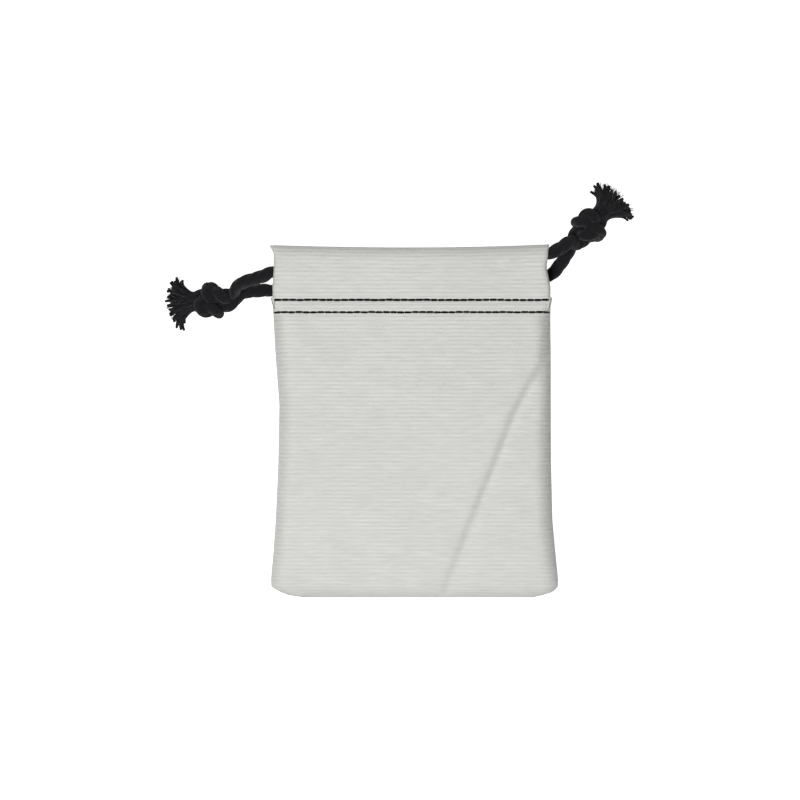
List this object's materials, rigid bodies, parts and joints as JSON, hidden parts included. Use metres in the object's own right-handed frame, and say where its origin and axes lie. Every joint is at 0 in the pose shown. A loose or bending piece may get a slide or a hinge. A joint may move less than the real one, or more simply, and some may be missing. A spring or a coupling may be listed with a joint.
{
  "type": "drawstring treat pouch",
  "caption": "Flat canvas pouch whose cased mouth is drawn shut by cords knotted at each side, for dog treats.",
  "frame": {"origin": "middle of the pouch's back face, on the surface it lies on; the cords are left out of that middle", "axes": "+X to the right as seen from the front, +Y from the bottom seam to the mouth, +Z out of the front panel"},
  "size_m": [0.1695, 0.1502, 0.0162],
  "materials": {
    "canvas": "off-white ribbed cotton canvas, matt",
    "topstitch_thread": "black polyester sewing thread, slight sheen",
    "seam_thread": "off-white sewing thread",
    "cord": "soft charcoal-black twisted cotton cord"
  },
  "bodies": {
    "pouch_back": {"back_panel": "canvas", "back_hem_facing": "canvas", "left_seam_allowance": "canvas", "right_seam_allowance": "canvas", "bottom_seam_allowance": "canvas", "left_seam_stitches": "seam_thread", "right_seam_stitches": "seam_thread", "bottom_seam_stitches": "seam_thread", "back_upper_stitch_row": "topstitch_thread", "back_lower_stitch_row": "topstitch_thread"},
    "pouch_front": {"front_panel": "canvas", "front_hem_facing": "canvas", "front_upper_stitch_row": "topstitch_thread", "front_lower_stitch_row": "topstitch_thread"},
    "left_cord_back": {"left_cord_back_run": "cord"},
    "left_cord_tail": {"left_cord_bight": "cord", "left_cord_front_tail": "cord", "left_cord_back_tail": "cord", "left_cord_knot": "cord", "left_cord_tuft": "cord"},
    "left_cord_front": {"left_cord_front_run": "cord"},
    "right_cord_back": {"right_cord_back_run": "cord"},
    "right_cord_tail": {"right_cord_bight": "cord", "right_cord_front_tail": "cord", "right_cord_back_tail": "cord", "right_cord_knot": "cord", "right_cord_tuft": "cord"},
    "right_cord_front": {"right_cord_front_run": "cord"}
  },
  "joints": [
    {"name": "mouth_open", "type": "hinge", "parent": "pouch_back", "child": "pouch_front", "pos_m": [0, -0.0638, 0.00375], "axis": [1, 0, 0], "range_deg": [0, 10]},
    {"name": "left_cord_pull", "type": "slide", "parent": "pouch_back", "child": "left_cord_back", "axis": [-1, 0, 0], "range_m": [0, 0.035]},
    {"name": "left_tail_lift", "type": "hinge", "parent": "left_cord_back", "child": "left_cord_tail", "pos_m": [0, -0.0638, 0.00375], "axis": [1, 0, 0], "range_deg": [0, 5], "deforming": ["left_cord_bight", "left_cord_back_tail"]},
    {"name": "left_strand_lift", "type": "hinge", "parent": "left_cord_tail", "child": "left_cord_front", "pos_m": [0, -0.0638, 0.00375], "axis": [1, 0, 0], "range_deg": [0, 5], "deforming": ["left_cord_front_tail"]},
    {"name": "right_cord_pull", "type": "slide", "parent": "pouch_back", "child": "right_cord_back", "axis": [1, 0, 0], "range_m": [0, 0.035]},
    {"name": "right_tail_lift", "type": "hinge", "parent": "right_cord_back", "child": "right_cord_tail", "pos_m": [0, -0.0638, 0.00375], "axis": [1, 0, 0], "range_deg": [0, 5], "deforming": ["right_cord_bight", "right_cord_back_tail"]},
    {"name": "right_strand_lift", "type": "hinge", "parent": "right_cord_tail", "child": "right_cord_front", "pos_m": [0, -0.0638, 0.00375], "axis": [1, 0, 0], "range_deg": [0, 5], "deforming": ["right_cord_front_tail"]}
  ],
  "couplings": [
    {"joint": "left_tail_lift", "follows": "mouth_open", "ratio": 0.5},
    {"joint": "left_strand_lift", "follows": "mouth_open", "ratio": 0.5},
    {"joint": "right_tail_lift", "follows": "mouth_open", "ratio": 0.5},
    {"joint": "right_strand_lift", "follows": "mouth_open", "ratio": 0.5}
  ]
}
